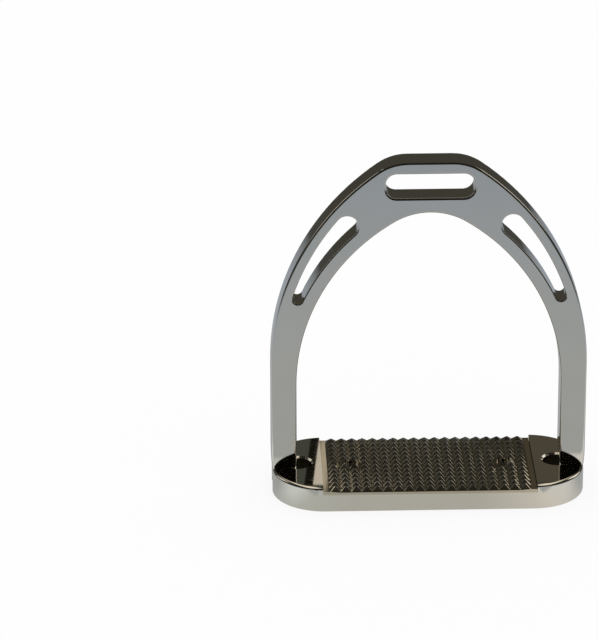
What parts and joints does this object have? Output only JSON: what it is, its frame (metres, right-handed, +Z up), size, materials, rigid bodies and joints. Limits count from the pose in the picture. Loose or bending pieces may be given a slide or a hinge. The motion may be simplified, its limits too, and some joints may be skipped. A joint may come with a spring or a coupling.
{
  "type": "stirrup iron",
  "caption": "Flat arched stirrup iron with curved side windows, a strap slot through its top, and a wide footplate carrying a screwed-in tread plate covered in square pointed teeth.",
  "frame": {"origin": "on the ground under the middle of the footplate, centre of the bounding box's bottom face", "axes": "+X along the tread from one leg to the other, +Y back through the foot opening, +Z up towards the strap slot"},
  "size_m": [0.1434, 0.0576, 0.16],
  "materials": {
    "bow_metal": "polished and plated",
    "footplate_metal": "polished and plated",
    "tread_metal": "cast, tumbled and plated",
    "fastener_steel": "machined"
  },
  "bodies": {
    "root": {"bow": "bow_metal", "footplate": "footplate_metal", "tread_plate": "tread_metal", "tread_screw_left": "fastener_steel", "tread_screw_right": "fastener_steel", "leg_pin_left": "fastener_steel", "leg_pin_right": "fastener_steel"}
  },
  "joints": []
}
